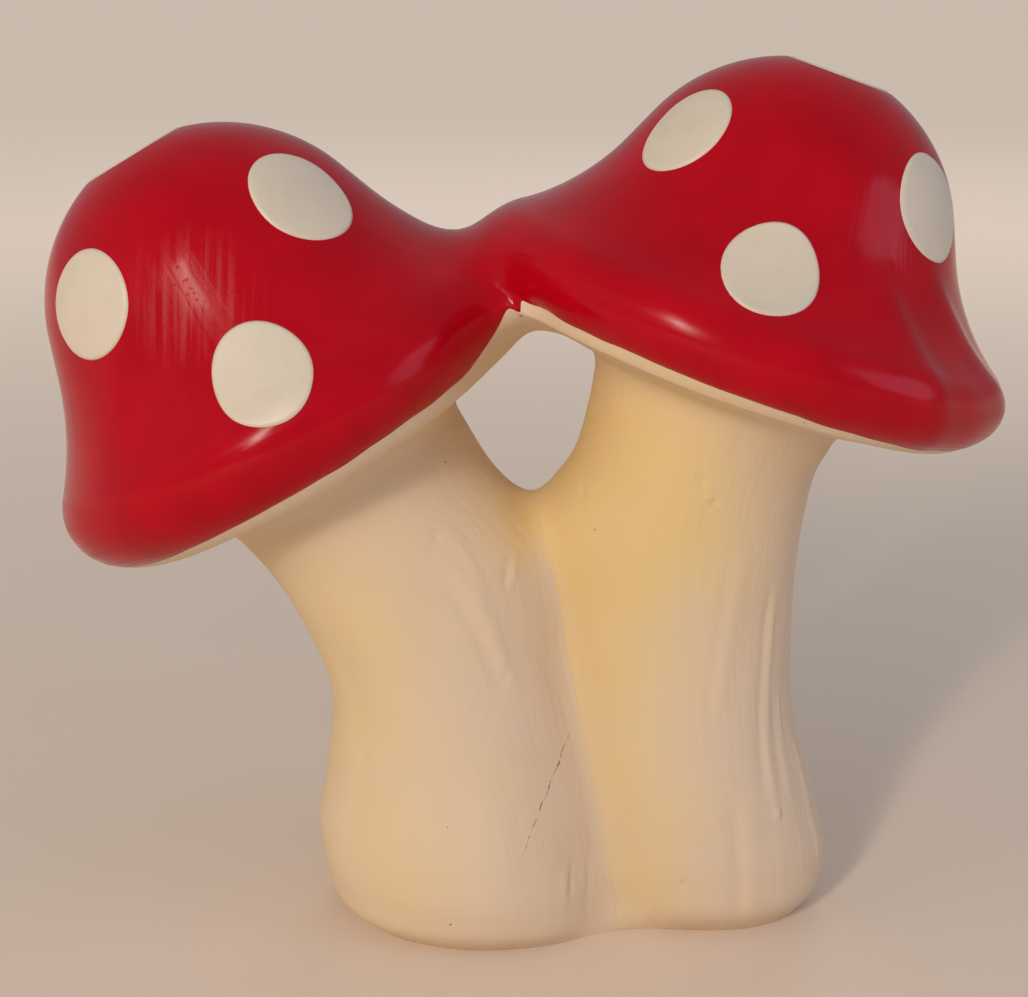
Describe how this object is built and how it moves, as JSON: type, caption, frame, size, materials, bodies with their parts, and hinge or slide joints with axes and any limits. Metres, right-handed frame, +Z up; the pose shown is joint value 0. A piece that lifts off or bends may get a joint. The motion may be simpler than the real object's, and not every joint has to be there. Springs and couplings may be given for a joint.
{
  "type": "ceramic mushroom ornament",
  "caption": "Free-standing earthenware ornament of leaning toadstools joined side by side, with spotted red caps on cream stems and an open window between them.",
  "frame": {"origin": "under the middle of the pair, on the surface that the feet stand on", "axes": "+X to the right, from the leaning left toadstool to the upright right one, +Y away from the front, +Z up"},
  "size_m": [0.1854, 0.105, 0.1736],
  "materials": {
    "red_enamel": "brushed semi-gloss red paint on fired clay",
    "white_spot": "satin off-white paint",
    "cream_bisque": "matt cream paint on fired clay"
  },
  "bodies": {
    "root": {"left_cap": "red_enamel", "left_cap_spot_back_left": "white_spot", "left_cap_spot_back_low": "white_spot", "left_cap_spot_back_right": "white_spot", "left_cap_spot_front_left": "white_spot", "left_cap_spot_front_low": "white_spot", "left_cap_spot_front_right": "white_spot", "left_cap_spot_top": "white_spot", "left_cap_underside": "cream_bisque", "left_stem": "cream_bisque", "neck_fillet": "red_enamel", "right_cap": "red_enamel", "right_cap_spot_back_left": "white_spot", "right_cap_spot_back_low": "white_spot", "right_cap_spot_back_right": "white_spot", "right_cap_spot_front_left": "white_spot", "right_cap_spot_front_low": "white_spot", "right_cap_spot_front_right": "white_spot", "right_cap_spot_top": "white_spot", "right_cap_underside": "cream_bisque", "right_stem": "cream_bisque"}
  },
  "joints": []
}
